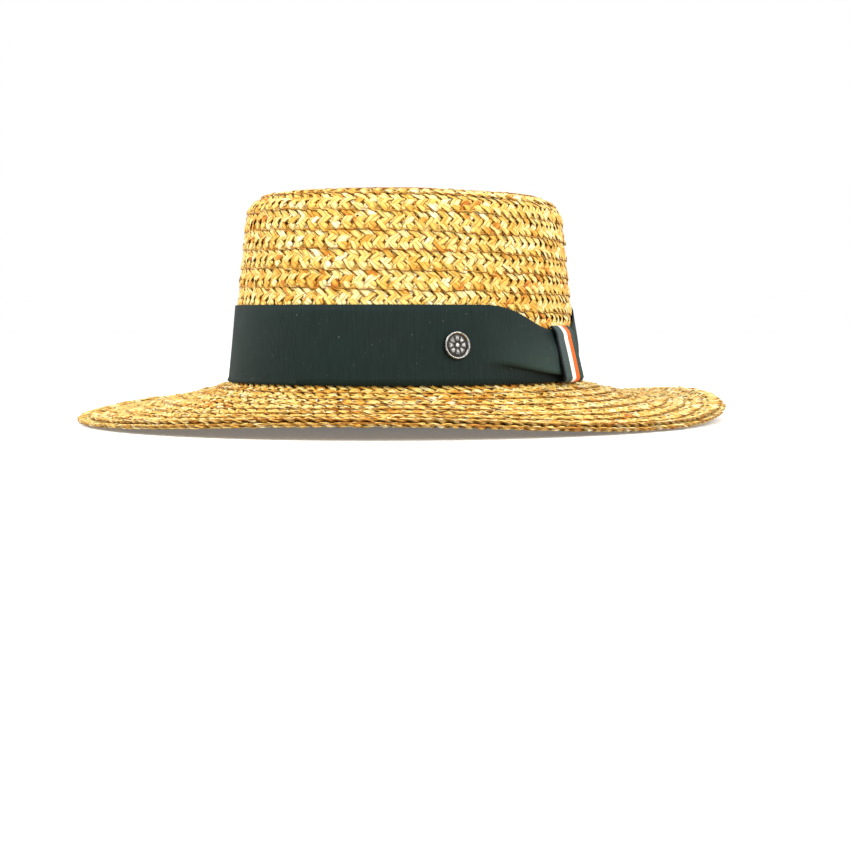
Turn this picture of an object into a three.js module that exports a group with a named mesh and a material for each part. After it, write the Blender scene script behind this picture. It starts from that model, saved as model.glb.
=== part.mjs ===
// A straw boater hat standing crown up on its brim. Millimetres, +Z up.
// The front of the hat faces -Y and the wearer's left, where the keeper loop is, faces +X.
// The origin is on the surface the hat stands on, below the middle of the head opening.
import * as THREE from 'three';
import { mergeVertices } from 'three/addons/utils/BufferGeometryUtils.js';

// Head opening, measured at the headline where crown and brim meet
const headHalfWidth = 83.5;
const headHalfLength = 99;
const headRadius = Math.sqrt(headHalfWidth * headHalfLength);

// Straw, sewn from rows of flat braid
const strawWall = 2.6;
const headlineHeight = 19;
const clearance = 0.3;

// Crown
const crownRise = 95;
const crownTaper = 0.1;
const shoulderRadius = 14;
const tipRadius = headRadius - 32;

// Brim
const brimWidth = 79;
const bendRadius = 3;
const brimEase = 1.25;
const brimTurn = 254;
const hemWidth = 9.5;
const hemWall = 3.6;

// The wave of the brim: three low places that stand on the table, and one crest higher than the rest
const restAzimuths = [80, 200, 320];
const waveCount = restAzimuths.length;
const waveRise = 6.5;
const crestAzimuth = 140;
const crestExtra = 0.4;
const waveFlat = 0.15;

// Ribbon round the crown, pinched where the keeper holds it
const ribbonHeight = 39;
const ribbonLift = 1.5;
const ribbonWall = 0.9;
const pinchReach = 32;
const pinchEase = 1.6;
const pinchDrop = 12;
const pinchPuff = 2.2;

// The pleat in front of the keeper: the ribbon's lower part tucks under its upper part
const pleatStart = 60;
const pleatShares = [0, 0.28, 0.34, 0.6, 0.85, 1];
const pleatFold = 0.3;
const pleatRise = 1.6;

// Keeper loop, a strip of striped ribbon that runs over the pinched ribbon from top to bottom
const keeperAzimuth = 96;
const keeperWidth = 25;
const keeperWall = 1;
const keeperTop = 30;
const keeperFoot = 0.7;
const keeperTopFront = 4.4;
const keeperFootFront = 9.2;
const keeperTopRound = 7;
const keeperTopAngle = 62;
const keeperFootRound = 2.6;

// Button badge
const badgeAzimuth = 50;
const badgeRise = 20;
const badgeRadius = 6.5;
const badgeRimHeight = 1.7;
const badgeRimWidth = 0.9;
const badgeDish = 0.4;
const badgeDome = 1;

// Sweatband, and the cord along its lower edge
const sweatRise = 32;
const sweatGap = 0.6;
const sweatWall = 1.1;
const sweatTurn = 225;
const pipingRadius = 0.75;
const pipingTurn = 205;

// Steps round the hat and along curves
const around = 72;
const badgeSteps = 36;
const domeSteps = 3;
const shoulderSteps = 4;
const bendSteps = 3;
const pipingSides = 6;
const keeperSteps = 4;

const clamp01 = (t) => Math.min(1, Math.max(0, t));
const smooth = (t) => clamp01(t) ** 2 * (3 - 2 * clamp01(t));
const radians = THREE.MathUtils.degToRad;
const degrees = THREE.MathUtils.radToDeg;
const keeperSpan = degrees(keeperWidth / (headHalfLength + strawWall + ribbonWall));

// Signed angle in degrees from one azimuth to another, by the short way
function turnFrom(azimuth, start) {
  return ((azimuth - start + 540) % 360) - 180;
}

// Height of the brim's edge above its lowest places
function edgeWave(azimuth) {
  const lobe = (1 - Math.cos(radians(waveCount * (azimuth - restAzimuths[0])))) / 2;
  const uneven = 1 + crestExtra * Math.cos(radians(azimuth - crestAzimuth));
  return Math.max(0, waveRise * lobe * uneven - waveFlat);
}

// How much the keeper pinches the ribbon: 1 under the keeper, 0 out of its reach
function pinch(azimuth) {
  const past = Math.abs(turnFrom(azimuth, keeperAzimuth)) - keeperSpan / 2;
  return (1 - smooth(past / pinchReach)) ** pinchEase;
}

// Offset of the crown's outer face from the headline, at a height above the headline
const crownFace = (rise) => strawWall - crownTaper * rise;

// A point outside or inside the headline oval by an offset, at an azimuth and a height
function onOval(azimuth, offset, height) {
  const angle = radians(azimuth);
  const radius = headRadius + offset;
  const inner = Math.min(1, radius / tipRadius);
  const reach = Math.max(radius, tipRadius) - headRadius;
  return new THREE.Vector3(
    (headHalfWidth + reach) * inner * Math.sin(angle),
    -(headHalfLength + reach) * inner * Math.cos(angle),
    height,
  );
}

// Moves every vertex to place(vertex), and merges the seam and the poles
function shaped(geometry, place) {
  const positions = geometry.getAttribute('position');
  const vertex = new THREE.Vector3();
  for (let i = 0; i < positions.count; i += 1) {
    vertex.fromBufferAttribute(positions, i);
    const moved = place(vertex);
    positions.setXYZ(i, moved.x, moved.y, moved.z);
  }
  geometry.deleteAttribute('normal');
  geometry.deleteAttribute('uv');
  const merged = mergeVertices(geometry, 1e-4);
  merged.computeVertexNormals();
  return merged;
}

// Turns a profile of [offset, height] pairs right round the hat.
// place(azimuth, offset, height) says where each point of the profile goes.
function turned(profile, place) {
  const points = profile.map(([offset, height]) => new THREE.Vector2(headRadius + offset, height));
  const lathe = new THREE.LatheGeometry(points, around);
  return shaped(lathe, (vertex) => {
    const azimuth = degrees(Math.atan2(vertex.x, vertex.z));
    return place(azimuth, Math.hypot(vertex.x, vertex.z) - headRadius, vertex.y);
  });
}

function named(name, geometry, colour, roughness, metalness = 0) {
  const material = new THREE.MeshStandardMaterial({ color: colour, roughness, metalness });
  const mesh = new THREE.Mesh(geometry, material);
  mesh.name = name;
  return mesh;
}

// A profile that comes back to its first point
function closed(profile) {
  return [...profile, profile[0]];
}

// Points of an arc in the profile plane, from one angle to another in degrees
function arc(centreOffset, centreHeight, radius, from, to, steps) {
  return Array.from({ length: steps + 1 }, (_, i) => {
    const angle = radians(from + ((to - from) * i) / steps);
    return [centreOffset + radius * Math.cos(angle), centreHeight + radius * Math.sin(angle)];
  });
}

// One face of the crown from its foot to the middle of its tip, set in by a wall thickness
function crownSide(inset) {
  const foot = bendRadius + clearance;
  const shoulderRise = crownRise - shoulderRadius;
  const turn = shoulderRadius - inset;
  const centre = crownFace(shoulderRise) - shoulderRadius;
  const lean = degrees(Math.atan(crownTaper));
  return [
    [crownFace(foot) - inset, headlineHeight + foot],
    [crownFace(shoulderRise / 2) - inset, headlineHeight + shoulderRise / 2],
    ...arc(centre, headlineHeight + shoulderRise, turn, lean, 90, shoulderSteps),
    [tipRadius - headRadius, headlineHeight + crownRise - inset],
    [-headRadius, headlineHeight + crownRise - inset],
  ];
}

function crown() {
  const profile = [...crownSide(strawWall).reverse(), ...crownSide(0)];
  return turned(profile, onOval);
}

// Height of the brim's upper face where it lies level, falling away from the headline
function brimTop(offset) {
  const start = strawWall + bendRadius;
  const end = brimWidth - hemWidth;
  const along = clamp01((offset - start) / (end - start));
  const fall = headlineHeight - hemWall;
  return headlineHeight - fall * (1 - (1 - along) ** brimEase);
}

// Puts a point of the brim on the oval, with the wave growing towards the edge
function onBrim(azimuth, offset, height) {
  const growth = clamp01(offset / (brimWidth - hemWidth)) ** 2;
  return onOval(azimuth, offset, height + edgeWave(azimuth) * growth);
}

function brim() {
  const centre = [strawWall + bendRadius, headlineHeight + bendRadius];
  const end = brimWidth - hemWidth - clearance;
  const offsets = [1, 0.75, 0.5, 0.25].map((share) => centre[0] + (end - centre[0]) * share);
  const top = offsets.map((offset) => [offset, brimTop(offset)]);
  const under = offsets.map((offset) => [offset, brimTop(offset) - strawWall]).reverse();
  return turned(closed([
    ...under,
    ...top,
    ...arc(...centre, bendRadius, brimTurn, 180, bendSteps),
    ...arc(...centre, bendRadius + strawWall, 180, brimTurn, bendSteps),
  ]), onBrim);
}

// The doubled row of braid along the edge, with a rounded outer lip and a level underside
function brimEdge() {
  const inner = brimWidth - hemWidth;
  const lip = hemWall / 2;
  return turned(closed([
    [inner, 0],
    [brimWidth - lip, 0],
    [brimWidth, lip],
    [brimWidth - lip, hemWall],
    [inner, hemWall],
  ]), onBrim);
}

// How far the ribbon's outer face stands proud, from its lower edge at share 0 to its upper edge at 1
function ribbonPuff(azimuth, share) {
  const held = pinch(azimuth);
  const belly = pinchPuff * held * Math.sin(Math.PI * share);
  const before = smooth((azimuth - pleatStart) / (keeperAzimuth - pleatStart)) * (1 - held);
  const above = share > pleatFold ? 1 - share : 0;
  return belly + (azimuth < keeperAzimuth ? before * pleatRise * above : 0);
}

// How far the foot of the ribbon is pushed out by the bend between crown and brim
function bendPush(rise) {
  const below = Math.max(0, bendRadius - rise);
  return bendRadius - Math.sqrt(bendRadius ** 2 - below ** 2);
}

function hatband() {
  const outer = pleatShares.map((share) => [ribbonWall, share]);
  const inner = pleatShares.map((share) => [0, share]).reverse();
  return turned(closed([...outer, ...inner]), (azimuth, through, share) => {
    const top = ribbonHeight - pinchDrop * pinch(azimuth);
    const rise = ribbonLift + share * (top - ribbonLift);
    const proud = through > ribbonWall / 2 ? ribbonPuff(azimuth, share) : 0;
    const offset = crownFace(rise) + clearance + bendPush(rise) + through + proud;
    return onOval(azimuth, offset, headlineHeight + rise);
  });
}

// One face of the keeper from its top end over the front to its foot, set in by a thickness
function keeperFace(inset) {
  const topCentre = [keeperTopFront - keeperTopRound, keeperTop - keeperTopRound];
  const footCentre = [keeperFootFront - keeperFootRound, keeperFoot + keeperFootRound];
  return [
    ...arc(...topCentre, keeperTopRound - inset, keeperTopAngle, 0, bendSteps),
    ...arc(...footCentre, keeperFootRound - inset, 0, -90, bendSteps),
    [strawWall + bendRadius, keeperFoot + inset],
  ];
}

function keeper() {
  const outline = [...keeperFace(0), ...keeperFace(keeperWall).reverse()];
  const section = new THREE.Shape(outline.map(([offset, rise]) => new THREE.Vector2(offset, rise)));
  const strip = new THREE.ExtrudeGeometry(section, {
    depth: keeperSpan,
    steps: keeperSteps,
    bevelEnabled: false,
  });
  return shaped(strip, (vertex) => {
    const azimuth = keeperAzimuth + keeperSpan / 2 - vertex.z;
    return onOval(azimuth, vertex.x, headlineHeight + vertex.y);
  });
}

// A round button with a raised rim and a low dome inside it, standing on its flat back
function badge() {
  const inner = badgeRadius - badgeRimWidth;
  const dish = badgeRimHeight - badgeDish;
  const dome = Array.from({ length: domeSteps + 1 }, (_, i) => {
    const out = 1 - i / domeSteps;
    return [inner * out, dish + badgeDome * (1 - out ** 2)];
  });
  const points = [
    [0, 0],
    [badgeRadius - badgeDish, 0],
    [badgeRadius, badgeDish],
    [badgeRadius, badgeRimHeight - badgeDish],
    [badgeRadius - badgeRimWidth / 2, badgeRimHeight],
    ...dome,
  ].map(([radius, height]) => new THREE.Vector2(radius, height));
  const lathe = new THREE.LatheGeometry(points, badgeSteps);
  return shaped(lathe, (vertex) => vertex.clone());
}

// Stands the badge on the ribbon, square to the crown's side
function badgePlace(mesh) {
  const angle = radians(badgeAzimuth);
  const outward = new THREE.Vector3(
    Math.sin(angle) / headHalfWidth,
    -Math.cos(angle) / headHalfLength,
    0,
  ).normalize();
  outward.z = crownTaper;
  const offset = crownFace(badgeRise) + ribbonWall + 3 * clearance;
  mesh.position.copy(onOval(badgeAzimuth, offset, headlineHeight + badgeRise));
  mesh.quaternion.setFromUnitVectors(new THREE.Vector3(0, 1, 0), outward.normalize());
  return mesh;
}

// One face of the sweatband from its foot, under the bend, to its top edge inside the crown
function sweatFace(depth) {
  const centre = [strawWall + bendRadius, headlineHeight + bendRadius];
  const radius = strawWall + bendRadius + depth;
  return [
    ...arc(...centre, radius, sweatTurn, 180, bendSteps),
    [-depth - crownTaper * sweatRise, headlineHeight + sweatRise],
  ];
}

function sweatband() {
  const inner = sweatFace(sweatGap + sweatWall).reverse();
  return turned(closed([...inner, ...sweatFace(sweatGap)]), onOval);
}

function piping() {
  const reach = strawWall + bendRadius + sweatGap + sweatWall + clearance + pipingRadius;
  const angle = radians(pipingTurn);
  const centre = [
    strawWall + bendRadius + reach * Math.cos(angle),
    headlineHeight + bendRadius + reach * Math.sin(angle),
  ];
  return turned(arc(...centre, pipingRadius, 0, 360, pipingSides), onOval);
}

const hat = new THREE.Group();
hat.add(
  named('crown', crown(), 0xdfb45f, 0.75),
  named('brim', brim(), 0xd3a65a, 0.75),
  named('brim_edge', brimEdge(), 0xe2ba6c, 0.75),
  named('hatband', hatband(), 0x22342f, 0.85),
  named('keeper_loop', keeper(), 0xc8501e, 0.8),
  badgePlace(named('badge', badge(), 0x6f6c66, 0.35, 1)),
  named('sweatband', sweatband(), 0x17171a, 0.85),
  named('sweatband_piping', piping(), 0xa9b0b2, 0.7),
);

export default hat;
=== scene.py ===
import math

import bmesh
import bpy
import numpy as np
from mathutils import Matrix, Vector


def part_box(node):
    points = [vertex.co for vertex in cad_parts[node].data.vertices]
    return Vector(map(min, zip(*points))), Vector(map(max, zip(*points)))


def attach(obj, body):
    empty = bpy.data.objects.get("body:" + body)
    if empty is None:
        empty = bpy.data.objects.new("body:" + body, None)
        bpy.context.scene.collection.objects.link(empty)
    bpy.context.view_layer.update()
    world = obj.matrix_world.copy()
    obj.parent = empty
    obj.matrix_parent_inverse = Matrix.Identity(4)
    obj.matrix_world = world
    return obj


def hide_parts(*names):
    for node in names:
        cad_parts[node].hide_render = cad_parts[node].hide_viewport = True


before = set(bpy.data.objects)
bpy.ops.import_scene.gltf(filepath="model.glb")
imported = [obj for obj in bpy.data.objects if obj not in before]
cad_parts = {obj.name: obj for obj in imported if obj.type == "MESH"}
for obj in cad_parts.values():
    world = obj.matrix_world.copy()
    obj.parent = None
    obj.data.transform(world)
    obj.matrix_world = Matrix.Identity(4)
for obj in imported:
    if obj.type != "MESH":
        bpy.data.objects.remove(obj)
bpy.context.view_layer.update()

sceneNow = bpy.context.scene

# The hat's own sizes in metres, with the places taken from the frame
hatSizes = {
    "brimWidth": 0.079,
    "crownRise": 0.095,
    "wall": 0.0026,
    "taper": 0.1,
    "shoulder": 0.014,
    "bend": 0.003,
    "brimTurn": 254,
    "hemWidth": 0.0095,
    "hemWall": 0.0036,
    "hemMiddle": 0.0028,
    "brimEase": 1.25,
    "waveRise": 0.0065,
    "waveFlat": 0.00015,
    "restAzimuth": 80,
    "crestAzimuth": 140,
    "crestExtra": 0.4,
}
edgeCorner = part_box("brim_edge")[1]
halfWidth = edgeCorner[0] - hatSizes["brimWidth"]
halfLength = edgeCorner[1] - hatSizes["brimWidth"]
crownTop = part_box("crown")[1][2]
headline = crownTop - hatSizes["crownRise"]


def smooth(t):
    t = np.clip(t, 0, 1)
    return t * t * (3 - 2 * t)


def edgeWave(azimuth):
    # height of the brim's edge above its lowest places, azimuth in radians
    rest, crest = math.radians(hatSizes["restAzimuth"]), math.radians(hatSizes["crestAzimuth"])
    lobe = (1 - np.cos(3 * (azimuth - rest))) / 2
    uneven = 1 + hatSizes["crestExtra"] * np.cos(azimuth - crest)
    return np.maximum(0, hatSizes["waveRise"] * lobe * uneven - hatSizes["waveFlat"])


def onHat(azimuth, offset, height):
    # a point at an offset from the headline oval; the wave grows towards the brim's edge
    growth = np.clip(offset / (hatSizes["brimWidth"] - hatSizes["hemWidth"]), 0, 1) ** 2
    x = (halfWidth + offset) * np.sin(azimuth)
    y = -(halfLength + offset) * np.cos(azimuth)
    return np.stack(np.broadcast_arrays(x, y, height + edgeWave(azimuth) * growth), -1)


def crownFace(rise):
    return hatSizes["wall"] - hatSizes["taper"] * rise


def brimTop(offset):
    start = hatSizes["wall"] + hatSizes["bend"]
    along = np.clip((offset - start) / (hatSizes["brimWidth"] - hatSizes["hemWidth"] - start), 0, 1)
    return headline - (headline - hatSizes["hemWall"]) * (1 - (1 - along) ** hatSizes["brimEase"])


def strawLine():
    # the middle of the straw from the tip's centre over the shoulder, down the side and out along the brim
    half = hatSizes["wall"] / 2
    shoulderRise = hatSizes["crownRise"] - hatSizes["shoulder"]
    centre = crownFace(shoulderRise) - hatSizes["shoulder"]
    lean = math.atan(hatSizes["taper"])
    turns = np.linspace(math.pi / 2, lean, 40)
    reach = hatSizes["shoulder"] - half
    tip = [(x, crownTop - half) for x in np.linspace(-halfWidth, centre, 60, endpoint=False)]
    shoulder = [(centre + reach * math.cos(a), headline + shoulderRise + reach * math.sin(a)) for a in turns]
    rises = np.linspace(shoulderRise - 0.001, hatSizes["bend"] + 0.001, 60)
    side = [(crownFace(rise) - half, headline + rise) for rise in rises]
    hub = hatSizes["wall"] + hatSizes["bend"]
    turns = np.radians(np.linspace(180, hatSizes["brimTurn"], 20))
    sweep = hatSizes["bend"] + half
    bend = [(hub + sweep * math.cos(a), headline + hatSizes["bend"] + sweep * math.sin(a)) for a in turns]
    inner = hatSizes["brimWidth"] - hatSizes["hemWidth"]
    brim = []
    for x in np.linspace(hub, hatSizes["brimWidth"] - 0.0008, 120):
        hem = smooth((x - inner + 0.004) / 0.006)
        brim.append((x, (brimTop(x) - half) * (1 - hem) + hatSizes["hemMiddle"] * hem))
    return np.array(tip + shoulder + side + bend + brim)


line = strawLine()
steps = np.hypot(*np.diff(line, axis=0).T)
lineAt = np.concatenate([[0], np.cumsum(steps)])
lineLength = lineAt[-1]
slopes = np.gradient(line, lineAt, axis=0)
kernel = np.ones(5) / 5
slopes = np.stack([np.convolve(np.pad(slopes[:, k], 2, mode="edge"), kernel, "valid") for k in (0, 1)], -1)
slopes /= np.linalg.norm(slopes, axis=1)[:, None]


def onStraw(azimuth, along, proud):
    # a point of the straw, from its azimuth, its distance along the line from the tip's centre
    # and its height off the middle of the wall
    offset = np.interp(along, lineAt, line[:, 0])
    height = np.interp(along, lineAt, line[:, 1])
    over = np.maximum(0, along - lineLength) + np.minimum(0, along)
    run, fall = np.interp(along, lineAt, slopes[:, 0]), np.interp(along, lineAt, slopes[:, 1])
    outward = np.maximum(offset + over * run - proud * fall, -halfWidth)
    return onHat(azimuth, outward, height + over * fall + proud * run)


# one long plait, sewn round and round from the middle of the tip to the brim's edge
braidWork = {
    "pitch": 0.0093,  # from row to row
    "width": 0.0106,  # of the plait, so that rows lap
    "stitch": 0.0058,  # along the row from strand to strand
    "lanes": 4,  # crossings across the plait
    # where the lanes meet, from the inner edge to the outer
    "laneEdges": (0.0, 0.20, 0.42, 0.685, 1.0),
    "laneWidths": (0.86, 0.92, 1.0, 1.10),  # how wide a strand lies in each lane
    "foldRound": 0.15,
    # how the rows wander: wavelength and size
    "sway": ((0.083, 0.00026), (0.047, 0.00018), (0.029, 0.00010)),
    "strandHalf": 0.00202,
    "strandThick": 0.00060,
    "weave": 0.00050,  # how far a strand rides over or under
    "lap": 0.00055,  # how far a row's outer edge stands over the next
    "hemLayer": 0.0015,  # how far the doubled last turn lies under the one before
    "samples": 14000,  # of the row line
    "startShare": 0.62,  # of half a plait's width, from the tip's centre to the first turn
    "endAzimuth": 190,
    "tipStart": {"from": 0.10, "length": 0.046, "middle": 0.0023, "widen": 1.15, "sunk": 0.0007},
    "coverRise": 0.021,  # below this the band and sweatband hide the side
    "seed": 7,
}
# over or under at each crossing, down the plait and back up
overUnder = np.array([1, 1, -1, 1, -1, 1, -1, -1])
# how unevenly a hand plaits: spreads in metres, shares and radians
strandVary = {
    "along": 0.00024,
    "across": 0.00026,
    "width": (0.74, 1.14),
    "lift": 0.00011,
    "roll": 0.20,
    "toneStep": 9,  # crossings between changes of a strand's own tone
    "toneShare": 0.55,
}
tapeWork = {"step": 0.004, "proud": -0.00030, "inset": 0.0004, "thick": 0.00010}
edgeWork = {
    "step": 0.0026,
    "inset": 0.0003,
    "proud": 0.00046,
    "half": 0.00036,
    "thick": 0.00036,
    "widths": (0.7, 1.3),
    "wobble": 0.00026,
    "sink": (-0.0004, 0.0002),
    "tone": (0.0, 0.45),
}


def spiral():
    # the row line: azimuth, distance along the straw line, length along the row, and under, which
    # goes from 0 to 1 where the last turn slips below the one before
    pitch, half = braidWork["pitch"], braidWork["width"] / 2
    first, last = half * braidWork["startShare"], lineLength - half
    turnEnd = (last - first) / pitch * 2 * math.pi
    total = turnEnd + 2 * math.pi
    turned = np.linspace(0, total, braidWork["samples"])
    along = np.minimum(first + pitch * turned / (2 * math.pi), last)
    under = smooth((turned - turnEnd) / math.pi)
    azimuth = turned + math.radians(braidWork["endAzimuth"]) - total
    points = onStraw(azimuth, along, 0)
    length = np.concatenate([[0], np.cumsum(np.linalg.norm(np.diff(points, axis=0), axis=1))])
    return {
        "azimuth": azimuth,
        "along": along,
        "length": length,
        "under": under,
        "turnEnd": np.interp(turnEnd, turned, length),
    }


row = spiral()


def onRow(length, across, proud):
    # a point of the plait: along it, across it from its middle, and off its face
    azimuth = np.interp(length, row["length"], row["azimuth"])
    along = np.interp(length, row["length"], row["along"])
    under = np.interp(length, row["length"], row["under"])
    lap = braidWork["lap"] * across / (braidWork["width"] / 2) * (1 - 0.6 * under)
    sway = sum(size * np.sin(2 * math.pi * length / wave) for wave, size in braidWork["sway"])
    calm = np.clip(np.minimum(along - 0.02, lineLength - 0.008 - along) / 0.01, 0, 1)
    return onStraw(azimuth, along + across + sway * calm, proud + lap - under * braidWork["hemLayer"])


def lengthAtLine(along):
    return float(np.interp(along, row["along"], row["length"]))


def strandPaths():
    # rings of every strand of the plait from end to end
    w = braidWork
    lanes, period = w["lanes"], 2 * w["lanes"]
    total = row["length"][-1]
    crossings = int(total / (w["stitch"] / 2)) + 1
    rng = np.random.default_rng(w["seed"])
    paths = []
    for strand in range(lanes):
        count = crossings + 1
        whole, knots = np.arange(count), np.arange(0, count + 2)
        parts = np.concatenate([whole + 1 / 6, whole + 0.5, whole + 5 / 6])
        folds = whole[whole % lanes == 0]
        at = np.sort(np.concatenate([parts, folds]))
        place = at % period
        down = np.where(place < lanes, place, period - place)
        # rounded folds at both edges
        near = np.hypot(np.minimum(down, lanes - down), w["foldRound"])
        down = np.where(down < lanes / 2, near, lanes - near)
        across = (np.interp(down, np.arange(lanes + 1), w["laneEdges"]) - 0.5) * w["width"]
        laneWide = np.interp(down, np.arange(lanes) + 0.5, w["laneWidths"])
        jitter = np.interp(at, knots, rng.normal(0, strandVary["along"], len(knots)))
        length = strand * w["stitch"] + (at - period) * w["stitch"] / 2 + jitter
        crossing = np.floor(at).astype(int) % period
        part = at - np.floor(at)
        fold = np.isin(at, folds)
        middle = np.abs(part - 0.5) < 0.2
        rise = np.where(fold, 0, overUnder[crossing] * np.where(middle, 1, 0.80))
        spread = laneWide * np.where(fold, 0.62, np.where(middle, 1.06, 1.0))
        wander = np.interp(at, knots, rng.normal(0, strandVary["across"], len(knots)))
        widths = np.interp(at, knots, rng.uniform(*strandVary["width"], len(knots)))
        lift = np.interp(at, knots, rng.normal(0, strandVary["lift"], len(knots)))
        roll = np.interp(at, knots, rng.normal(0, strandVary["roll"], len(knots)))
        slowKnots = np.arange(0, count + 40, strandVary["toneStep"])
        strandTone = np.interp(at, slowKnots, rng.uniform(0, 1, len(slowKnots)))
        crossingTone = rng.uniform(0, 1, count + 2)[np.floor(at).astype(int)]
        tone = strandVary["toneShare"] * strandTone + (1 - strandVary["toneShare"]) * crossingTone
        keep = (length > 0.0) & (length < total)
        paths.append(
            {
                "length": length[keep],
                "across": (across + wander)[keep],
                "proud": (rise * w["weave"] + lift)[keep],
                "half": (w["strandHalf"] * spread * widths)[keep],
                "thick": np.full(keep.sum(), w["strandThick"]),
                "roll": roll[keep],
                "tone": tone[keep],
                # how far a strand goes under, which sets its painted shade
                "dive": (1 - np.abs(rise))[keep],
                "grain": at[keep] * 0.39 + strand * 17.3,
            }
        )
    return paths


def coreTape():
    # a thin tape inside the plait, which closes the gaps between strands; its near-black colour is painted
    # shade, so the gaps read as shadow
    total = row["length"][-1]
    length = np.linspace(0.001, total - 0.001, int(total / tapeWork["step"]))
    n = len(length)
    return [
        {
            "length": length,
            "across": np.zeros(n),
            "proud": np.full(n, tapeWork["proud"]),
            "half": np.full(n, braidWork["width"] / 2 - tapeWork["inset"]),
            "thick": np.full(n, tapeWork["thick"]),
            "roll": np.zeros(n),
            "tone": np.full(n, 0.5),
            "dive": np.ones(n),
            "grain": length * 100,
        }
    ]


def edgeStrand():
    # the thin strand that runs along each row's outer edge
    w = braidWork
    total = row["length"][-1]
    length = np.arange(0.004, total - 0.004, edgeWork["step"])
    n = len(length)
    rng = np.random.default_rng(w["seed"] + 1)
    step = np.arange(n)
    coarse, fine = np.arange(0, n + 9, 9), np.arange(0, n + 3, 3)
    wobble = np.interp(step, fine, rng.normal(0, edgeWork["wobble"], len(fine)))
    sink = np.interp(step, coarse, rng.uniform(*edgeWork["sink"], len(coarse)))
    return [
        {
            "length": length,
            "across": w["width"] / 2 - edgeWork["inset"] + wobble,
            "proud": edgeWork["proud"] + sink + wobble * 0.5,
            "half": edgeWork["half"] * rng.uniform(*edgeWork["widths"], n),
            "thick": np.full(n, edgeWork["thick"]),
            "roll": np.zeros(n),
            "tone": np.interp(step, coarse, rng.uniform(*edgeWork["tone"], len(coarse))),
            "dive": np.full(n, 0.35),
            "grain": length * 100,
        }
    ]


fiveSided = np.array([(-1, 0), (-0.56, 0.82), (0.56, 0.82), (1, 0), (0, -0.82)])
fourSided = np.array([(-1, 0), (0, 1), (1, 0), (0, -1)])


def strandMesh(name, paths, spans, section, place=onRow):
    # joins every stretch of the paths that lies in one of the spans of length into one mesh
    sides = len(section)
    facing = int(np.argmax(section[:, 0]))  # the sides before this one face out, and the rest face in
    acrossUv = np.interp(np.arange(sides + 1), (0, facing, sides), (0, 1, 2))
    vertices, quads, uvs, tones, dives = [], [], [], [], []
    ends = []
    base = 0
    for path in paths:
        du, dv = np.gradient(path["length"]), np.gradient(path["across"])
        size = np.hypot(du, dv)
        du, dv = du / size, dv / size
        for low, high in spans:
            inside = np.nonzero((path["length"] >= low) & (path["length"] <= high))[0]
            if len(inside) < 2:
                continue
            pick = slice(inside[0], min(inside[-1] + 2, len(path["length"])))
            n = len(path["length"][pick])
            x = section[None, :, 0] * path["half"][pick][:, None]
            y = section[None, :, 1] * path["thick"][pick][:, None]
            cosR, sinR = np.cos(path["roll"][pick])[:, None], np.sin(path["roll"][pick])[:, None]
            x, y = x * cosR - y * sinR, x * sinR + y * cosR
            length = path["length"][pick][:, None] - dv[pick][:, None] * x
            across = path["across"][pick][:, None] + du[pick][:, None] * x
            proud = path["proud"][pick][:, None] + y
            points = place(length, across, proud).reshape(-1, 3)
            vertices.append(points)
            ring = np.arange(n - 1)[:, None] * sides
            side = np.arange(sides)[None, :]
            nextSide = (side + 1) % sides
            a, b = base + ring + side, base + ring + nextSide
            quads.append(np.stack([a, a + sides, b + sides, b], -1).reshape(-1, 4))
            grain = path["grain"][pick]
            u0, u1 = grain[:-1, None] + 0 * side, grain[1:, None] + 0 * side
            v0, v1 = acrossUv[side] + 0 * ring, acrossUv[side + 1] + 0 * ring
            corner = np.stack([u0, v0, u1, v0, u1, v1, u0, v1], -1)
            uvs.append(corner.reshape(-1, 8))
            tones.append(np.repeat(path["tone"][pick], sides))
            dives.append(np.repeat(path["dive"][pick], sides))
            ends.append(base + np.arange(sides)[::-1])
            ends.append(base + (n - 1) * sides + np.arange(sides))
            base += n * sides
    vertices, quads = np.concatenate(vertices), np.concatenate(quads)
    ends = np.array(ends)
    mesh = bpy.data.meshes.new(name)
    mesh.vertices.add(len(vertices))
    mesh.vertices.foreach_set("co", vertices.astype(np.float32).ravel())
    corners = np.concatenate([quads.ravel(), ends.ravel()])
    mesh.loops.add(len(corners))
    mesh.loops.foreach_set("vertex_index", corners.astype(np.int32))
    starts = np.concatenate([np.arange(len(quads)) * 4, len(quads) * 4 + np.arange(len(ends)) * sides])
    mesh.polygons.add(len(starts))
    mesh.polygons.foreach_set("loop_start", starts.astype(np.int32))
    mesh.update(calc_edges=True)
    uv = mesh.uv_layers.new(name="strand")
    flat = np.zeros((len(corners), 2), np.float32)
    flat[: len(quads) * 4] = np.concatenate(uvs).reshape(-1, 2)
    uv.data.foreach_set("uv", flat.ravel())
    for key, values in (("tone", tones), ("dive", dives)):
        made = mesh.attributes.new(key, "FLOAT", "POINT")
        made.data.foreach_set("value", np.concatenate(values).astype(np.float32))
    mesh.polygons.foreach_set("use_smooth", np.ones(len(mesh.polygons), bool))
    mesh.validate()
    piece = bpy.data.objects.new(name, mesh)
    sceneNow.collection.objects.link(piece)
    return piece


def dressed(piece, material, slot, *nodes):
    piece.data.materials.clear()
    piece.data.materials.append(material)
    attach(piece, "root")
    if nodes:
        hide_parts(*nodes)
    return piece


def newMaterial(name):
    material = bpy.data.materials.new(name)
    material.use_nodes = True
    tree = material.node_tree
    return material, tree, tree.nodes["Principled BSDF"]


def addNode(tree, kind, values=None, **settings):
    node = tree.nodes.new(kind)
    for key, value in settings.items():
        setattr(node, key, value)
    for key, value in (values or {}).items():
        node.inputs[key].default_value = value
    return node


def plug(tree, source, node, key):
    tree.links.new(source, node.inputs[key])
    return node


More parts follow.
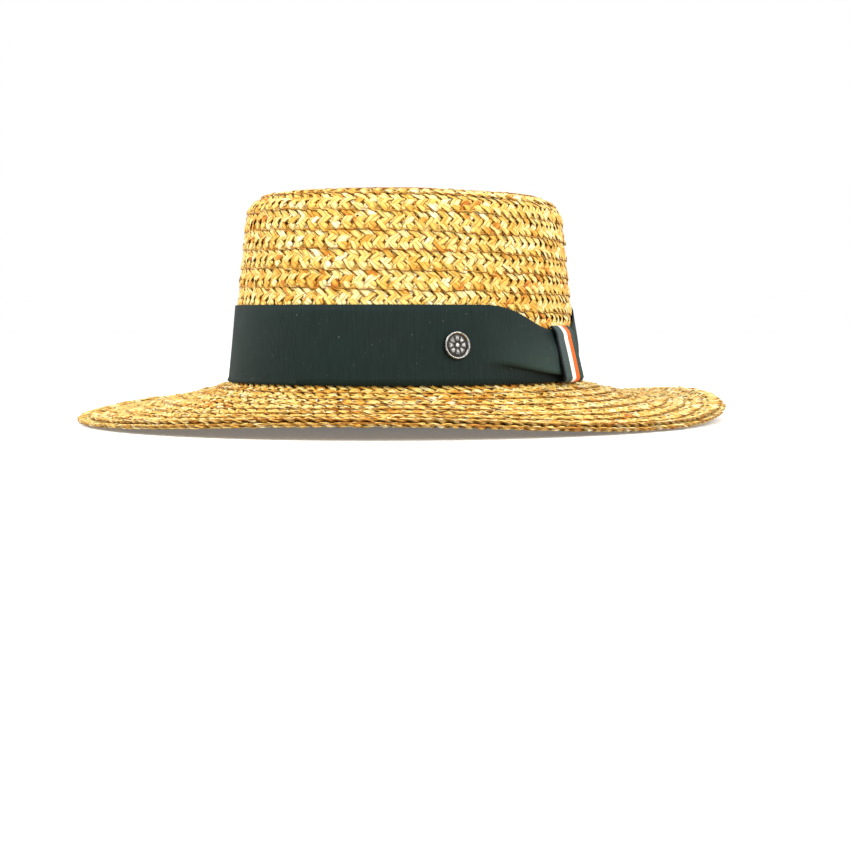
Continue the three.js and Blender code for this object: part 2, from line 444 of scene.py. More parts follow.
def sums(tree, operation, first, second, third=None, clamp=False):
    # one Math node on sockets or numbers
    node = addNode(tree, "ShaderNodeMath", operation=operation, use_clamp=clamp)
    for key, value in enumerate((first, second, third)):
        if value is None:
            continue
        if isinstance(value, (int, float)):
            node.inputs[key].default_value = value
        else:
            tree.links.new(value, node.inputs[key])
    return node.outputs["Value"]


def ramp(tree, fac, stops, constant=False):
    node = addNode(tree, "ShaderNodeValToRGB")
    node.color_ramp.interpolation = "CONSTANT" if constant else "LINEAR"
    elements = node.color_ramp.elements
    while len(elements) < len(stops):
        elements.new(0.5)
    for element, (at, colour) in zip(elements, stops):
        element.position = at
        element.color = (*colour, 1)
    tree.links.new(fac, node.inputs["Fac"])
    return node.outputs["Color"]


def noise(tree, vector, scale, detail=2.0, roughness=0.5, **settings):
    values = {"Scale": scale, "Detail": detail, "Roughness": roughness}
    node = addNode(tree, "ShaderNodeTexNoise", values, **settings)
    if vector is not None:
        tree.links.new(vector, node.inputs["W" if settings.get("noise_dimensions") == "1D" else "Vector"])
    return node.outputs["Fac"]


def blend(tree, fac, first, second, kind="MIX"):
    node = addNode(tree, "ShaderNodeMix", data_type="RGBA", blend_type=kind)
    for key, value in (("Factor", fac), ("A", first), ("B", second)):
        if isinstance(value, tuple):
            node.inputs[key].default_value = (*value, 1)
        elif isinstance(value, (int, float)):
            node.inputs[key].default_value = value
        else:
            tree.links.new(value, node.inputs[key])
    return node.outputs["Result"]


def spread(tree, value, low, high, toLow, toHigh):
    values = {"From Min": low, "From Max": high, "To Min": toLow, "To Max": toHigh}
    node = addNode(tree, "ShaderNodeMapRange", values)
    tree.links.new(value, node.inputs["Value"])
    return node.outputs["Result"]


def scaled(tree, vector, scale):
    mapping = addNode(tree, "ShaderNodeMapping", {"Scale": scale})
    return plug(tree, vector, mapping, "Vector").outputs["Vector"]


def bump(tree, shader, height, strength, distance, before=None):
    node = addNode(tree, "ShaderNodeBump", {"Strength": strength, "Distance": distance})
    tree.links.new(height, node.inputs["Height"])
    if before is not None:
        tree.links.new(before, node.inputs["Normal"])
    tree.links.new(node.outputs["Normal"], shader.inputs["Normal"])
    return node.outputs["Normal"]


strawLook = {
    "stops": [
        (0.00, (0.37, 0.105, 0.006)),
        (0.14, (0.59, 0.240, 0.020)),
        (0.34, (0.71, 0.405, 0.062)),
        (0.58, (0.76, 0.535, 0.140)),
        (0.80, (0.81, 0.655, 0.265)),
        (1.00, (0.87, 0.80, 0.48)),
    ],
    # painted shade colour where a strand goes under and along its rims
    "paintedCreviceShade": (0.18, 0.040, 0.001),
    # painted shade colour of the tape inside the plait
    "coreShade": (0.085, 0.026, 0.003),
    "leaves": 2.6,  # narrow leaves side by side in one strand
    "leafWander": 1.7,
    "grooveShade": 0.68,  # how dark the painted shade in the grooves between leaves is
    "rim": 0.96,  # how dark the painted shade along a strand's rims is
    "specular": 0.20,
    "leafRelief": 0.00040,
    "fibreRelief": 0.00030,
}


def strawMaterial(name, paintedCreviceShade, deep):
    # the second argument is the share of painted shade where a strand goes under, and deep is the painted
    # shade colour
    material, tree, shader = newMaterial(name)
    uv = addNode(tree, "ShaderNodeUVMap", uv_map="strand").outputs["UV"]
    split = plug(tree, uv, addNode(tree, "ShaderNodeSeparateXYZ"), "Vector")
    alongStrand, acrossStrand = split.outputs["X"], split.outputs["Y"]
    fibre = noise(tree, scaled(tree, uv, (0.55, 7.0, 1.0)), 2.4, 4.0, 0.66)
    wander = noise(tree, alongStrand, 0.7, 1.0, 0.5, noise_dimensions="1D")
    leafCount = sums(tree, "MULTIPLY", acrossStrand, strawLook["leaves"])
    leaf = sums(tree, "MULTIPLY_ADD", wander, strawLook["leafWander"], leafCount)
    leafRidge = sums(tree, "PINGPONG", leaf, 0.5)
    leafPlace = addNode(tree, "ShaderNodeCombineXYZ")
    plug(tree, sums(tree, "MULTIPLY", alongStrand, 0.8), leafPlace, "X")
    plug(tree, sums(tree, "MULTIPLY", sums(tree, "FLOOR", leaf, None), 5.3), leafPlace, "Y")
    leafTone = noise(tree, leafPlace.outputs["Vector"], 1.0, 1.0, 0.5, noise_dimensions="2D")
    tone = addNode(tree, "ShaderNodeAttribute", attribute_name="tone").outputs["Fac"]
    dive = addNode(tree, "ShaderNodeAttribute", attribute_name="dive").outputs["Fac"]
    total = sums(tree, "MULTIPLY_ADD", fibre, 1.10, sums(tree, "MULTIPLY_ADD", leafTone, 0.85, tone))
    shade = sums(tree, "SUBTRACT", total, 0.94, clamp=True)
    colour = ramp(tree, shade, strawLook["stops"])
    grooveShade = spread(tree, leafRidge, 0.0, 0.12, strawLook["grooveShade"], 0.0)
    side = sums(tree, "PINGPONG", acrossStrand, 0.5)
    rim = spread(tree, side, 0.03, 0.21, strawLook["rim"], 0.0)
    # painted shade: darkest in the grooves between leaves, along a strand's rims and where it goes under
    under = sums(tree, "MAXIMUM", rim, sums(tree, "MULTIPLY", dive, paintedCreviceShade))
    paintedShadeShare = sums(tree, "MAXIMUM", grooveShade, under, clamp=True)
    plug(tree, blend(tree, paintedShadeShare, colour, deep), shader, "Base Color")
    plug(tree, spread(tree, fibre, 0.3, 0.7, 0.34, 0.60), shader, "Roughness")
    shader.inputs["Specular IOR Level"].default_value = strawLook["specular"]
    ridge = spread(tree, leafRidge, 0.0, 0.16, 0.0, 1.0)
    first = bump(tree, shader, ridge, 0.75, strawLook["leafRelief"])
    bump(tree, shader, fibre, 0.55, strawLook["fibreRelief"], first)
    return material


def lineAtRise(height, outside):
    # distance along the straw line where it passes a height on the crown's side
    far = np.abs(line[:, 1] - height) + 10 * (line[:, 0] > outside)
    return float(lineAt[np.argmin(far)])


straw = strawMaterial("raffiaStraw", 0.55, strawLook["paintedCreviceShade"])
coreShade = strawMaterial("paintedShadeCore", 0.90, strawLook["coreShade"])
paths, tape, edge = strandPaths(), coreTape(), edgeStrand()
coverAt = lineAtRise(headline + braidWork["coverRise"], 0.004)
shoulderAt = lineAtRise(crownTop - 0.012, 0.0)
bendAt = lineAtRise(headline + 0.004, 0.004)
rowTotal = row["length"][-1]
brimStart = lengthAtLine(bendAt)
brimThird = [brimStart + (row["turnEnd"] - brimStart) * k / 3 for k in range(4)]
spans = {
    "crownTipBraid": (0.0, lengthAtLine(shoulderAt)),
    "crownSideBraid": (lengthAtLine(shoulderAt), lengthAtLine(coverAt)),
    "brimInnerBraid": (brimThird[0], brimThird[1]),
    "brimMiddleBraid": (brimThird[1], brimThird[2]),
    "brimOuterBraid": (brimThird[2], brimThird[3]),
    "brimEdgeBraid": (brimThird[3], rowTotal),
}
replaced = {"crownTipBraid": ["crown"], "brimInnerBraid": ["brim"], "brimEdgeBraid": ["brim_edge"]}


def onTipStart(length, across, proud):
    # the straight start of the plait, under the first turn in the middle of the tip
    start = braidWork["tipStart"]
    y = length - start["from"] - start["length"] / 2
    x = start["middle"] + across * start["widen"]
    height = crownTop - hatSizes["wall"] / 2 - start["sunk"] + proud
    return np.stack(np.broadcast_arrays(x, y, height), -1)


faceCount = {}
for name, span in spans.items():
    piece = dressed(strandMesh(name, paths, [span], fiveSided), straw, "raffia", *replaced.get(name, []))
    faceCount[name] = len(piece.data.polygons)
# the dark tape inside the plait, in painted shade
coreSpans = (("crownShadeTape", 0, brimStart), ("brimCore", brimStart, rowTotal))
for name, low, high in coreSpans:
    dressed(strandMesh(name, tape, [(low, high)], fourSided), coreShade, "raffia")
edgeSpans = (("crownRowEdge", 0.02, spans["crownSideBraid"][1]), ("brimRowEdge", brimStart, rowTotal))
for name, low, high in edgeSpans:
    piece = dressed(strandMesh(name, edge, [(low, high)], fourSided), straw, "raffia")
    faceCount[name] = len(piece.data.polygons)
tipFrom = braidWork["tipStart"]["from"]
tipSpan = (tipFrom, tipFrom + braidWork["tipStart"]["length"])
dressed(strandMesh("crownTipStart", paths, [tipSpan], fiveSided, onTipStart), straw, "raffia")
print("straw done, faces", faceCount, "in all", sum(faceCount.values()))


def gridPiece(name, columns, rows, place, closedRound):
    # a sheet made as a bmesh grid, placed by place(u, v), with its own u, v map
    work = bmesh.new()
    bmesh.ops.create_grid(work, x_segments=columns, y_segments=rows, size=0.5)
    layer = work.loops.layers.uv.new("cloth")
    work.verts.ensure_lookup_table()
    for face in work.faces:
        for loop in face.loops:
            loop[layer].uv = (loop.vert.co.x + 0.5, loop.vert.co.y + 0.5)
    flat = np.array([vert.co[:2] for vert in work.verts]) + 0.5
    for vert, point in zip(work.verts, place(flat[:, 0], flat[:, 1])):
        vert.co = point
    if closedRound:
        bmesh.ops.remove_doubles(work, verts=work.verts, dist=1e-6)
    for face in work.faces:
        face.smooth = True
    mesh = bpy.data.meshes.new(name)
    work.to_mesh(mesh)
    work.free()
    piece = bpy.data.objects.new(name, mesh)
    sceneNow.collection.objects.link(piece)
    return piece


def thickened(piece, wall, offset):
    solid = piece.modifiers.new("wall", "SOLIDIFY")
    solid.thickness, solid.offset = wall, offset
    return piece


def ovalPoint(azimuth, offset, rise):
    # a point off the headline oval, clear of the brim's wave
    x, y = (halfWidth + offset) * np.sin(azimuth), -(halfLength + offset) * np.cos(azimuth)
    return np.stack(np.broadcast_arrays(x, y, headline + rise), -1)


def turnTo(azimuth, centre):
    return (np.degrees(azimuth) - centre + 540) % 360 - 180


bandWork = {
    "width": 0.039,
    "lift": 0.0015,
    "wall": 0.0008,
    "gap": 0.0004,
    "pinchReach": 32,
    "pinchEase": 1.6,
    "pinchDrop": 0.012,
    "puff": 0.0018,
    "pleatStart": 58,
    "pleatEnd": 88,
    "pleatShares": (0.27, 0.14),  # where the fold lies, from its start to the keeper
    "foldStart": 62,
    "foldReach": 28,
    "foldEdge": 0.012,  # share of the height between the cloth under the fold and its edge
    "foldRow": 4,
    "pleatRise": 0.0030,
    "pleatTuck": 0.05,
    "crowd": 1.15,  # above 1, the rows lie closer near the fold
    "crease": 0.00030,
    "slack": 0.00016,
    "columns": 1480,
    "rows": 13,
    "picots": 370,
    "picotDeep": 0.00028,
    "colour": (0.0034, 0.0100, 0.0086),
    # lighter streak colour: slubs and painted sheen
    "slubAndSheen": (0.011, 0.024, 0.021),
}
keeperWork = {
    "azimuth": 96,
    "width": 0.025,
    "wall": 0.0010,
    "top": 0.030,
    "foot": 0.0007,
    "topFront": 0.0044,
    "footFront": 0.0092,
    "topRound": 0.007,
    "topAngle": 62,
    "footRound": 0.0026,
    "columns": 90,
    "rows": 64,
    "picots": 30,
    "picotDeep": 0.00030,
    "bow": 0.0004,
}
keeperSpan = math.degrees(keeperWork["width"] / (halfLength + 0.0035))


def pinched(azimuth):
    past = np.abs(turnTo(azimuth, keeperWork["azimuth"])) - keeperSpan / 2
    return (1 - smooth(past / bandWork["pinchReach"])) ** bandWork["pinchEase"]


def picotEdge(u, v, count, deep):
    # the little loops along both woven edges
    loops = np.abs(np.sin(np.pi * count * u)) * deep
    return loops * (smooth((v - 0.93) / 0.07) - smooth((0.07 - v) / 0.07))


def bandPlace(u, v):
    w = bandWork
    azimuth = u * 2 * math.pi + math.radians(keeperWork["azimuth"])
    held = pinched(azimuth)
    degreesRound = np.degrees(azimuth) % 360
    pleat = smooth((degreesRound - w["pleatStart"]) / (w["pleatEnd"] - w["pleatStart"]))
    pleat = pleat * (degreesRound < keeperWork["azimuth"])
    shareFrom, shareTo = w["pleatShares"]
    foldAlong = np.clip((degreesRound - w["foldStart"]) / w["foldReach"], 0, 1)
    fold = shareFrom + (shareTo - shareFrom) * foldAlong
    rowAt = np.rint(v * w["rows"]).astype(int)
    # the rows before foldRow lie below the fold, that one is its edge and the rest climb to the top
    isBelow = rowAt < w["foldRow"]
    below = (fold - w["foldEdge"] + w["pleatTuck"] * pleat) * np.clip(rowAt / (w["foldRow"] - 1), 0, 1)
    climb = np.clip((rowAt - w["foldRow"]) / (w["rows"] - w["foldRow"]), 0, 1)
    above = fold + (1 - fold) * climb ** w["crowd"]
    share = np.where(isBelow, below, above)
    flatten = np.where(isBelow, 1 - 0.95 * pleat, 1 - 0.45 * pleat)
    belly = w["puff"] * held * np.sin(np.pi * np.clip(share, 0, 1)) * flatten
    overlay = w["pleatRise"] * pleat * (1 - share) * ~isBelow
    crease = w["crease"] * held * np.sin(share * 9.5 + 2.2) * (rowAt > w["foldRow"])
    slack = w["slack"] * np.sin(3 * azimuth + 1.3) * np.sin(share * 3.1) * (1 - held)
    top = w["width"] - w["pinchDrop"] * held
    rise = w["lift"] + share * (top - w["lift"]) + picotEdge(u, v, w["picots"], w["picotDeep"])
    foot = np.maximum(0, hatSizes["bend"] - rise)
    push = hatSizes["bend"] - np.sqrt(hatSizes["bend"] ** 2 - foot**2)
    offset = crownFace(rise) + w["gap"] + w["wall"] / 2 + push + belly + overlay + crease + slack
    return ovalPoint(azimuth, offset, rise)


ribbonLook = {
    "lint": (0.45, 0.46, 0.40),
    "lintShare": 0.20,
    "ribShade": (0.25, 0.25, 0.25),
    "threadShade": (0.35, 0.35, 0.35),
    # painted shade in the tuck below the pleat, and painted sheen on the cloth pulled over it
    "tuckShade": (0.22, 0.24, 0.26),
    "pulledSheen": (0.040, 0.068, 0.060),
    "specular": 0.13,
    "sheenWeight": 0.03,
    "sheenRough": 0.45,
    "sheenTint": (0.6, 0.9, 0.8, 1),
}


def pleatShade(tree, split, cloth):
    # painted shade darkens the tuck below the pleat, and a painted sheen lightens the cloth pulled over it
    around, up = split.outputs["X"], split.outputs["Y"]
    near = spread(tree, around, 0.895, 0.975, 0.0, 1.0)
    below = spread(tree, up, 0.22, 0.30, 1.0, 0.0)
    rising, falling = spread(tree, up, 0.29, 0.33, 0.0, 1.0), spread(tree, up, 0.45, 0.95, 1.0, 0.0)
    over = sums(tree, "MULTIPLY", near, sums(tree, "MULTIPLY", rising, falling))
    tuckShaded = blend(tree, sums(tree, "MULTIPLY", near, below), cloth, ribbonLook["tuckShade"], "MULTIPLY")
    return blend(tree, sums(tree, "MULTIPLY", over, 0.55), tuckShaded, ribbonLook["pulledSheen"])


def plainCloth(tree, uv, cloudy, colour, slubAndSheen):
    # one dye, in worn clouds, with lighter streaks along the ribs, partly slubs and partly painted sheen
    base = blend(tree, spread(tree, cloudy, 0.35, 0.68, 0.0, 1.0), colour, tuple(c * 1.5 for c in colour))
    slub = noise(tree, scaled(tree, uv, (420.0, 3.0, 1.0)), 1.0, 2.0, 0.5)
    slubShare = sums(tree, "MULTIPLY", spread(tree, slub, 0.3, 0.7, 0.0, 1.0), 0.45)
    return blend(tree, slubShare, base, slubAndSheen)


def ribbonMaterial(name, ribs, ribDeep, colour=None, slubAndSheen=None, stripes=None, pleated=False):
    # woven ribbon: cross ribs, a fine thread and flecks of lint, in one dye or in stripes
    material, tree, shader = newMaterial(name)
    uv = addNode(tree, "ShaderNodeUVMap", uv_map="cloth").outputs["UV"]
    split = plug(tree, uv, addNode(tree, "ShaderNodeSeparateXYZ"), "Vector")
    ribWay = split.outputs["Y" if stripes else "X"]
    ribWave = sums(tree, "SINE", sums(tree, "MULTIPLY", ribWay, ribs * 2 * math.pi), None)
    rib = sums(tree, "MULTIPLY_ADD", ribWave, 0.5, 0.5)
    place = addNode(tree, "ShaderNodeTexCoord").outputs["Object"]
    cloudy = noise(tree, place, 28.0, 3.0, 0.55)
    thread = noise(tree, place, 2600.0, 2.0, 0.6)
    fleck = noise(tree, place, 900.0, 1.0, 0.4)
    lint = spread(tree, fleck, 0.765, 0.81, 0.0, ribbonLook["lintShare"])
    if stripes:
        toned = ramp(tree, split.outputs["X"], stripes, constant=True)
    else:
        toned = plainCloth(tree, uv, cloudy, colour, slubAndSheen)
    # painted shade between the ribs and along the fine thread
    ribShade = spread(tree, rib, 0.0, 0.45, 0.38, 0.0)
    ribbed = blend(tree, ribShade, toned, ribbonLook["ribShade"], "MULTIPLY")
    threadShade = spread(tree, thread, 0.3, 0.7, 0.25, 0.0)
    shadedCloth = blend(tree, threadShade, ribbed, ribbonLook["threadShade"], "MULTIPLY")
    # painted shade and painted sheen at the pleat
    if pleated:
        shadedCloth = pleatShade(tree, split, shadedCloth)
    plug(tree, blend(tree, lint, shadedCloth, ribbonLook["lint"]), shader, "Base Color")
    plug(tree, spread(tree, cloudy, 0.3, 0.7, 0.55, 0.72), shader, "Roughness")
    shader.inputs["Specular IOR Level"].default_value = ribbonLook["specular"]
    shader.inputs["Sheen Weight"].default_value = ribbonLook["sheenWeight"]
    shader.inputs["Sheen Roughness"].default_value = ribbonLook["sheenRough"]
    shader.inputs["Sheen Tint"].default_value = ribbonLook["sheenTint"]
    first = bump(tree, shader, rib, 0.5, ribDeep)
    bump(tree, shader, thread, 0.35, 0.00012, first)
    return material


band = gridPiece("hatbandRibbon", bandWork["columns"], bandWork["rows"], bandPlace, True)
thickened(band, bandWork["wall"], 0)
bandDye = {"colour": bandWork["colour"], "slubAndSheen": bandWork["slubAndSheen"]}
bandCloth = ribbonMaterial("greenGrosgrain", 640, 0.00030, **bandDye, pleated=True)
dressed(band, bandCloth, "band_ribbon", "hatband")
print("hatband faces", len(band.data.polygons))


def turnAbout(centre, radius, angles):
    return [(centre[0] + radius * math.cos(a), centre[1] + radius * math.sin(a)) for a in angles]


def keeperLine(inset):
    # the keeper's section from its top end over the front to its foot, as offset and rise
    w = keeperWork
    topCentre = (w["topFront"] - w["topRound"], w["top"] - w["topRound"])
    footCentre = (w["footFront"] - w["footRound"], w["foot"] + w["footRound"])
    angles = np.radians(np.linspace(w["topAngle"], 0, 14))
    topTurn = turnAbout(topCentre, w["topRound"] - inset, angles)
    angles = np.radians(np.linspace(0, -90, 12))
    footTurn = turnAbout(footCentre, w["footRound"] - inset, angles)
    return np.array(topTurn + footTurn + [(hatSizes["wall"] + hatSizes["bend"], w["foot"] + inset)])


def keeperPlace(u, v):
    w = keeperWork
    middle = keeperLine(w["wall"] / 2)
    reach = np.concatenate([[0], np.cumsum(np.hypot(*np.diff(middle, axis=0).T))])
    at = (1 - v) * reach[-1]
    offset, rise = np.interp(at, reach, middle[:, 0]), np.interp(at, reach, middle[:, 1])
    # the front bows out a little, most in the middle
    offset = offset + w["bow"] * np.sin(np.pi * v) * np.sin(np.pi * u)
    edge = np.abs(np.sin(np.pi * w["picots"] * v)) * w["picotDeep"]
    widen = (smooth((u - 0.97) / 0.03) - smooth((0.03 - u) / 0.03)) * edge / w["width"]
    azimuth = np.radians(w["azimuth"] + keeperSpan * (u - 0.5 + widen))
    return ovalPoint(azimuth, offset, rise)


keeper = gridPiece("keeperRibbon", keeperWork["columns"], keeperWork["rows"], keeperPlace, False)
thickened(keeper, keeperWork["wall"] * 0.9, 0)
keeperStripes = [
    (0.000, (0.010, 0.012, 0.016)),
    (0.045, (0.055, 0.080, 0.078)),
    (0.300, (0.95, 0.95, 0.94)),
    (0.480, (0.95, 0.130, 0.006)),
    (0.700, (0.018, 0.050, 0.036)),
    (0.955, (0.010, 0.012, 0.016)),
]
keeperCloth = ribbonMaterial("stripedRibbon", 42, 0.00028, stripes=keeperStripes)
dressed(keeper, keeperCloth, "keeper_ribbon", "keeper_loop")
print("keeper faces", len(keeper.data.polygons))

badgeWork = {
    "azimuth": 50,
    "rise": 0.020,
    "radius": 0.0065,
    "rimWidth": 0.0009,
    "rimHeight": 0.0017,
    "dish": 0.0013,
    "steps": 112,
    "rings": 20,
    "petals": 8,
    "relief": 0.00042,
    "sunk": 0.00035,  # the ground of the rosette below the dish's plane
    "boss": 0.00050,
    "rope": 28,  # turns of the roped rim
    "ropeDeep": 0.00010,
}


def badgeHeight(radius, turn):
    # a small rosette in a dish: round middle, petals, and a roped rim
    w = badgeWork
    share = radius / (w["radius"] - w["rimWidth"])
    middle = w["boss"] * np.sqrt(np.clip(1 - (share / 0.24) ** 2, 0, 1))
    petal = np.sqrt(np.clip(np.abs(np.cos(w["petals"] / 2 * turn)), 0, 1))
    ring = np.sin(np.pi * np.clip((share - 0.27) / 0.60, 0, 1)) ** 0.7
    vein = 1 - 0.35 * (np.abs(np.sin(w["petals"] / 2 * turn)) < 0.10)
    return w["dish"] - w["sunk"] + middle + w["relief"] * petal * ring * vein


def makeBadge():
    w = badgeWork
    inner = w["radius"] - w["rimWidth"]
    profile = [(w["radius"] - 0.0004, 0.0), (w["radius"], 0.0004), (w["radius"], w["rimHeight"] - 0.0003)]
    profile += [(w["radius"] - 0.00022, w["rimHeight"]), (w["radius"] - 0.00062, w["rimHeight"])]
    profile += [(inner * (1 - k / w["rings"]), w["dish"]) for k in range(w["rings"])]
    work = bmesh.new()
    verts = [work.verts.new((radius, 0, height)) for radius, height in profile]
    edges = [work.edges.new(pair) for pair in zip(verts, verts[1:])]
    turn = {"axis": (0, 0, 1), "cent": (0, 0, 0), "angle": 2 * math.pi}
    bmesh.ops.spin(work, geom=verts + edges, steps=w["steps"], use_merge=True, **turn)
    bmesh.ops.remove_doubles(work, verts=work.verts, dist=1e-7)
    bmesh.ops.holes_fill(work, edges=[e for e in work.edges if e.is_boundary], sides=0)
    relief = work.verts.layers.float.new("relief")
    for vert in work.verts:
        radius, turn = math.hypot(vert.co.x, vert.co.y), math.atan2(vert.co.y, vert.co.x)
        if radius < inner * 0.999 and vert.co.z > 0.0008:
            vert.co.z = float(badgeHeight(radius, turn))
            vert[relief] = (vert.co.z - w["dish"] + w["sunk"]) / w["relief"]
        else:
            roped = 0.5 + 0.5 * math.cos(w["rope"] * turn)
            vert.co.z += w["ropeDeep"] * roped * (vert.co.z > w["rimHeight"] - 0.0001)
            vert[relief] = 1.0
    bmesh.ops.recalc_face_normals(work, faces=work.faces)
    angle = math.radians(w["azimuth"])
    outward = Vector((math.sin(angle) / halfWidth, -math.cos(angle) / halfLength, 0)).normalized()
    outward.z = hatSizes["taper"]
    offset = crownFace(w["rise"]) + bandWork["gap"] + bandWork["wall"] + 0.0003
    spot = Vector(ovalPoint(angle, offset, w["rise"]).tolist())
    facing = outward.to_track_quat("Z", "Y").to_matrix().to_4x4()
    bmesh.ops.transform(work, verts=work.verts, matrix=Matrix.Translation(spot) @ facing)
    for face in work.faces:
        face.smooth = True
    mesh = bpy.data.meshes.new("badgeButton")
    work.to_mesh(mesh)
    work.free()
    piece = bpy.data.objects.new("badgeButton", mesh)
    sceneNow.collection.objects.link(piece)
    return piece


badgeTones = [(0.0, (0.022, 0.020, 0.019)), (0.5, (0.10, 0.095, 0.090)), (1.0, (0.46, 0.45, 0.43))]


def badgeMaterial():
    material, tree, shader = newMaterial("oldPewter")
    place = addNode(tree, "ShaderNodeTexCoord").outputs["Object"]
    relief = addNode(tree, "ShaderNodeAttribute", attribute_name="relief").outputs["Fac"]
    tarnish = noise(tree, place, 900.0, 3.0, 0.6)
    wear = sums(tree, "MULTIPLY_ADD", tarnish, 1.3, sums(tree, "SUBTRACT", relief, 0.85), clamp=True)
    plug(tree, ramp(tree, wear, badgeTones), shader, "Base Color")
    shader.inputs["Metallic"].default_value = 1.0
    plug(tree, spread(tree, tarnish, 0.3, 0.7, 0.24, 0.42), shader, "Roughness")
    bump(tree, shader, noise(tree, place, 2400.0, 2.0, 0.5), 0.25, 0.0002)
    return material


badge = dressed(makeBadge(), badgeMaterial(), "badge_metal", "badge")
print("badge faces", len(badge.data.polygons))

sweatWork = {
    "rise": 0.032,
    "gap": 0.0006,
    "wall": 0.0011,
    "turn": 225,
    "columns": 1120,
    "rows": 16,
    "picots": 280,
    "picotDeep": 0.00025,
    "colour": (0.0065, 0.0068, 0.0080),
    # lighter streak colour: slubs and painted sheen
    "slubAndSheen": (0.020, 0.021, 0.024),
}


def sweatPlace(u, v):
    w = sweatWork
    depth = w["gap"] + w["wall"] / 2
    hub, radius = hatSizes["wall"] + hatSizes["bend"], hatSizes["wall"] + hatSizes["bend"] + depth
    angles = np.radians(np.linspace(w["turn"], 180, 12))
    arc = [(hub + radius * math.cos(a), hatSizes["bend"] + radius * math.sin(a)) for a in angles]
    middle = np.array(arc + [(-depth - hatSizes["taper"] * w["rise"], w["rise"])])
    reach = np.concatenate([[0], np.cumsum(np.hypot(*np.diff(middle, axis=0).T))])
    at = v * reach[-1]
    azimuth = u * 2 * math.pi + math.pi
    rise = np.interp(at, reach, middle[:, 1]) + picotEdge(u, v, w["picots"], w["picotDeep"])
    slack = 0.00025 * np.sin(7 * azimuth + 0.8) * np.sin(v * 2.8)
    return ovalPoint(azimuth, np.interp(at, reach, middle[:, 0]) - np.abs(slack), rise)


sweat = gridPiece("sweatbandRibbon", sweatWork["columns"], sweatWork["rows"], sweatPlace, True)
thickened(sweat, sweatWork["wall"] * 0.9, 0)
sweatDye = {"colour": sweatWork["colour"], "slubAndSheen": sweatWork["slubAndSheen"]}
sweatCloth = ribbonMaterial("blackGrosgrain", 560, 0.00030, **sweatDye)
dressed(sweat, sweatCloth, "sweatband_ribbon", "sweatband")

pipingWork = {
    "turn": 205,
    "radius": 0.00075,
    "plyRadius": 0.00043,
    "twists": 150,
    "ringsPerTwist": 8,
    "sides": 7,
    "gap": 0.0003,
}


def twistedPly(phase):
    # one ply of the cord, as rings round a helix that runs right round the hat
    w = pipingWork
    hub = hatSizes["wall"] + hatSizes["bend"]
    reach = hub + sweatWork["gap"] + sweatWork["wall"] + w["gap"] + w["radius"]
    angle = math.radians(w["turn"])
    centre = (hub + reach * math.cos(angle), hatSizes["bend"] + reach * math.sin(angle))
    count = w["twists"] * w["ringsPerTwist"]
    azimuth = np.arange(count) / count * 2 * math.pi
    turn = azimuth * w["twists"] + phase
    sway = w["radius"] - w["plyRadius"]
    around = np.linspace(0, 2 * math.pi, w["sides"], endpoint=False)
    offset = centre[0] + sway * np.cos(turn)[:, None] + w["plyRadius"] * np.cos(around)[None, :]
    rise = centre[1] + sway * np.sin(turn)[:, None] + w["plyRadius"] * np.sin(around)[None, :]
    return ovalPoint(azimuth[:, None], offset, rise)


def makePiping():
    work = bmesh.new()
    layer = work.loops.layers.uv.new("cloth")
    for phase in (0.0, math.pi):
        rings = twistedPly(phase)
        verts = [[work.verts.new(point) for point in ring] for ring in rings]
        count, sides = len(verts), pipingWork["sides"]
        for i in range(count):
            for j in range(sides):
                corners = [(i, j), (i, j + 1), (i + 1, j + 1), (i + 1, j)]
                face = work.faces.new([verts[a % count][b % sides] for a, b in corners])
                face.smooth = True
                for loop, (a, b) in zip(face.loops, corners):
                    loop[layer].uv = (a / count, b / sides)
    bmesh.ops.recalc_face_normals(work, faces=work.faces)
    mesh = bpy.data.meshes.new("sweatbandCord")
    work.to_mesh(mesh)
    work.free()
    piece = bpy.data.objects.new("sweatbandCord", mesh)
    sceneNow.collection.objects.link(piece)
    return piece


def cordMaterial():
    material, tree, shader = newMaterial("paleCord")
    uv = addNode(tree, "ShaderNodeUVMap", uv_map="cloth").outputs["UV"]
    place = addNode(tree, "ShaderNodeTexCoord").outputs["Object"]
    yarn = noise(tree, scaled(tree, uv, (600.0, 6.0, 1.0)), 1.0, 2.0, 0.5)
    grime = noise(tree, place, 60.0, 3.0, 0.6)
    clean = blend(tree, spread(tree, grime, 0.35, 0.7, 0.0, 1.0), (0.50, 0.56, 0.60), (0.30, 0.33, 0.35))
    yarnShade = spread(tree, yarn, 0.35, 0.65, 0.5, 0.0)
    plug(tree, blend(tree, yarnShade, clean, (0.12, 0.13, 0.14)), shader, "Base Color")
    plug(tree, spread(tree, grime, 0.3, 0.7, 0.6, 0.8), shader, "Roughness")
    bump(tree, shader, yarn, 0.5, 0.0002)
    return material


dressed(makePiping(), cordMaterial(), "piping_cord", "sweatband_piping")
print("sweatband and cord done")

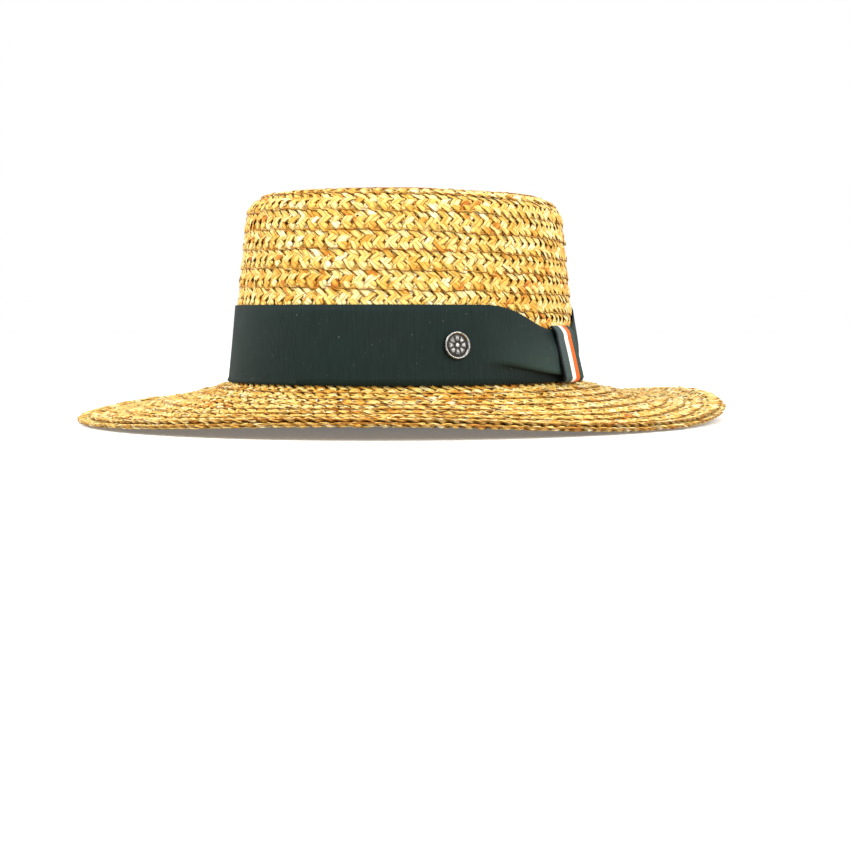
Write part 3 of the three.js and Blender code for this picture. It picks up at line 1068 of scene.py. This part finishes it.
# floor, light and camera
studio = {
    "azimuth": 30,
    "elevation": 3.5,
    "distance": 0.9,
    "lens": 72.7,
    "aim": (0.008, 0.005, -0.004),
    "world": 1.0,
    "floorRadius": 6.0,
    "floorDrop": 0.0004,  # below the resting plane, clear of the straw
    "floorTone": 0.84,
    "floorGlow": 0.16,
    "lights": [
        ("keyLight", (-0.9, -1.2, 1.6), 0.9, 41),
        ("fillLight", (1.7, -0.4, 1.0), 1.2, 30),
        ("topLight", (0.1, 0.5, 2.0), 1.4, 12),
    ],
}
floorMesh = bpy.data.meshes.new("studioFloor")
work = bmesh.new()
bmesh.ops.create_circle(work, cap_ends=True, segments=96, radius=studio["floorRadius"])
bmesh.ops.translate(work, verts=work.verts, vec=(0, 0, -studio["floorDrop"]))
work.to_mesh(floorMesh)
work.free()
floor = bpy.data.objects.new("studioFloor", floorMesh)
sceneNow.collection.objects.link(floor)
floorMaterial, _, floorShader = newMaterial("paleFloor")
floorShader.inputs["Base Color"].default_value = (*[studio["floorTone"]] * 3, 1)
floorShader.inputs["Roughness"].default_value = 0.9
floorShader.inputs["Emission Color"].default_value = (1, 1, 1, 1)
floorShader.inputs["Emission Strength"].default_value = studio["floorGlow"]
floorMesh.materials.append(floorMaterial)

world = bpy.data.worlds.new("studioWorld")
world.use_nodes = True
world.node_tree.nodes["Background"].inputs["Color"].default_value = (1, 1, 1, 1)
world.node_tree.nodes["Background"].inputs["Strength"].default_value = studio["world"]
sceneNow.world = world
for lightName, place, size, power in studio["lights"]:
    data = bpy.data.lights.new(lightName, "AREA")
    data.size, data.energy = size, power
    lamp = bpy.data.objects.new(lightName, data)
    lamp.location = place
    lamp.rotation_euler = (Vector((0, 0, 0.05)) - Vector(place)).to_track_quat("-Z", "Y").to_euler()
    sceneNow.collection.objects.link(lamp)

cameraData = bpy.data.cameras.new("camera")
cameraData.lens = studio["lens"]
cameraData.clip_start = 0.01
camera = bpy.data.objects.new("camera", cameraData)
turn, lift = math.radians(studio["azimuth"]), math.radians(studio["elevation"])
back = Vector((math.sin(turn) * math.cos(lift), -math.cos(turn) * math.cos(lift), math.sin(lift)))
camera.location = Vector(studio["aim"]) + back * studio["distance"]
camera.rotation_euler = (-back).to_track_quat("-Z", "Y").to_euler()
sceneNow.collection.objects.link(camera)
sceneNow.camera = camera
sceneNow.view_settings.view_transform = "Standard"
print("floor, light and camera done")
